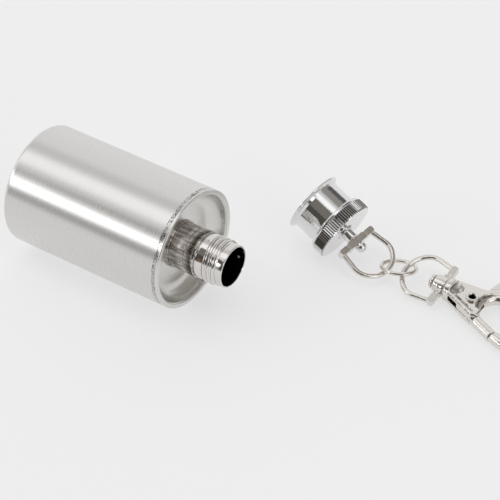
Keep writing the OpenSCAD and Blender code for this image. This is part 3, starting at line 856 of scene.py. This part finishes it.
turns = (THREAD_X[1] - THREAD_X[0]) / PITCH
bpy.ops.mesh.primitive_circle_add(
    vertices=WIRE_SIDES,
    radius=WIRE_R * MM,
    location=(THREAD_X[0] * MM, 0, (THREAD_TOP_R - WIRE_R) * MM),
    rotation=(math.pi / 2, 0, 0),
)
thread = bpy.context.object
thread.name = "thread"
bpy.ops.object.transform_apply(location=True, rotation=True, scale=True)
bpy.ops.object.mode_set(mode="EDIT")
bpy.ops.mesh.select_all(action="SELECT")
bpy.ops.transform.resize(value=(WIRE_STRETCH, 1, 1), center_override=(THREAD_X[0] * MM, 0, 0))
bpy.ops.object.mode_set(mode="OBJECT")
climb = thread.modifiers.new("climb", "SCREW")
climb.axis = "X"
climb.angle = 2 * math.pi * turns
climb.screw_offset = (THREAD_X[1] - THREAD_X[0]) * MM
climb.steps = int(STEPS_A_TURN * turns)
climb.render_steps = climb.steps
climb.use_smooth_shade = True
bpy.ops.object.modifier_apply(modifier=climb.name)
print("thread makes", round(turns, 2), "turns")

# %% [markdown]
# A real thread runs out into the neck at both ends. The two open ends of the wire are closed and pushed
# towards the axis, and proportional editing lets the push fade out along the wire. Then the whole thread
# is turned about the axis, to where the photograph shows its start.

# %% Run the thread out at its ends
THREAD_START = math.radians(225)
RUN_OUT = 2.5

bpy.ops.object.mode_set(mode="EDIT")
bpy.ops.mesh.select_all(action="DESELECT")
bpy.ops.mesh.select_mode(type="VERT")
bpy.ops.mesh.select_non_manifold()
bpy.ops.mesh.edge_face_add()
bpy.ops.transform.translate(
    value=(0, 0, -WIRE_R * MM),
    use_proportional_edit=True,
    use_proportional_connected=True,
    proportional_size=RUN_OUT * MM,
)
bpy.ops.mesh.select_all(action="SELECT")
bpy.ops.transform.rotate(value=THREAD_START, orient_axis="X", center_override=(0, 0, 0))
bpy.ops.mesh.normals_make_consistent(inside=False)
bpy.ops.object.mode_set(mode="OBJECT")
print("thread has", len(thread.data.vertices), "corners")

# %% [markdown]
# On the real flask neck and thread are one piece of steel, so the two meshes are joined into one object.
# It rides on the flask's body and stands for the frame's neck.

# %% Join thread and neck
pick(neck)
thread.select_set(True)
bpy.ops.object.join()
put_in_scene(neck, "flask", "neck_polish", "neck_tube")

# %% [markdown]
# The cap's grip is a knurled band: eighty straight V-shaped ridges pressed into the metal, between a
# flat end plate and a plain shoulder. The top is turned first as a smooth shell, with two corners for
# every ridge. It is made lying along X, because that is how the turning tool works.

# %% Turn the cap's top
KNURL_N = 80
KNURL_R = 8.95
KNURL_L = 3.5
TOP_BEVEL = 0.35
TOP_T = 0.5
SEAT_R = 7.57
PIN_HOLE_R = 1.45
SHOULDER_R = 8.65
SHOULDER_L = 0.9
SHOULDER_BEND = 0.4
SHOULDER_FACE = 0.5
SHOULDER_STEP = 0.02
BAND_STEP = 0.05

top_l = KNURL_L + SHOULDER_L
band_x = -KNURL_L - SHOULDER_STEP
outline = [(-top_l, SEAT_R), (-top_l, SHOULDER_R - SHOULDER_FACE)]
outline += rounded(SHOULDER_BEND - top_l, SHOULDER_R - SHOULDER_BEND, SHOULDER_BEND, -90, 0)
outline += [(band_x, SHOULDER_R), (band_x, KNURL_R - TOP_BEVEL + BAND_STEP)]
outline += [(TOP_BEVEL / 2 - KNURL_L, KNURL_R), (-TOP_BEVEL, KNURL_R)]
outline += [(0, KNURL_R - TOP_BEVEL), (0, PIN_HOLE_R)]
outline += [(-TOP_T, PIN_HOLE_R), (-TOP_T, SEAT_R), (-top_l, SEAT_R)]
cap_top = turned_shell("knurled_top", outline, 2 * KNURL_N)
print("outline of the cap's top has", len(outline), "points")

# %% [markdown]
# Every second corner of the band becomes the bottom of a groove. The corners are chosen by their place,
# with everything deselected in edit mode before, and pushed towards the axis all at once by a scale.

# %% Push every second corner of the band inwards
KNURL_DEPTH = 0.24
ON_BAND = 0.01
KNURL_HARD_EDGE = math.radians(25)

bpy.ops.object.mode_set(mode="EDIT")
bpy.ops.mesh.select_mode(type="VERT")
bpy.ops.mesh.select_all(action="DESELECT")
bpy.ops.object.mode_set(mode="OBJECT")
for corner in cap_top.data.vertices:
    radius = math.hypot(corner.co.y, corner.co.z) / MM
    step = round(math.degrees(math.atan2(corner.co.z, corner.co.y)) / (180 / KNURL_N))
    corner.select = radius > KNURL_R - ON_BAND and step % 2 == 1
print("grooves have", sum(corner.select for corner in cap_top.data.vertices), "corners")
bpy.ops.object.mode_set(mode="EDIT")
inwards = 1 - KNURL_DEPTH / KNURL_R
bpy.ops.transform.resize(value=(1, inwards, inwards), center_override=(0, 0, 0))
bpy.ops.object.mode_set(mode="OBJECT")
bpy.ops.object.shade_smooth_by_angle(angle=KNURL_HARD_EDGE)

# %% [markdown]
# The cap lies askew on the table, and its axis is that of its swivel's joint. The finished top is turned
# and moved there, and the turn is applied, so that its place is in its mesh.

# %% Turn the top into the cap's direction
cap_axis = Vector(joints["cap_swivel"]["axis"]).normalized()
cap_top.rotation_mode = "QUATERNION"
cap_top.rotation_quaternion = Vector((1, 0, 0)).rotation_difference(cap_axis)
cap_top.location = joints["cap_swivel"]["pos_m"]
pick(cap_top)
bpy.ops.object.transform_apply(location=True, rotation=True, scale=True)
put_in_scene(cap_top, "cap", "cap_chrome", "cap_knurled_top")
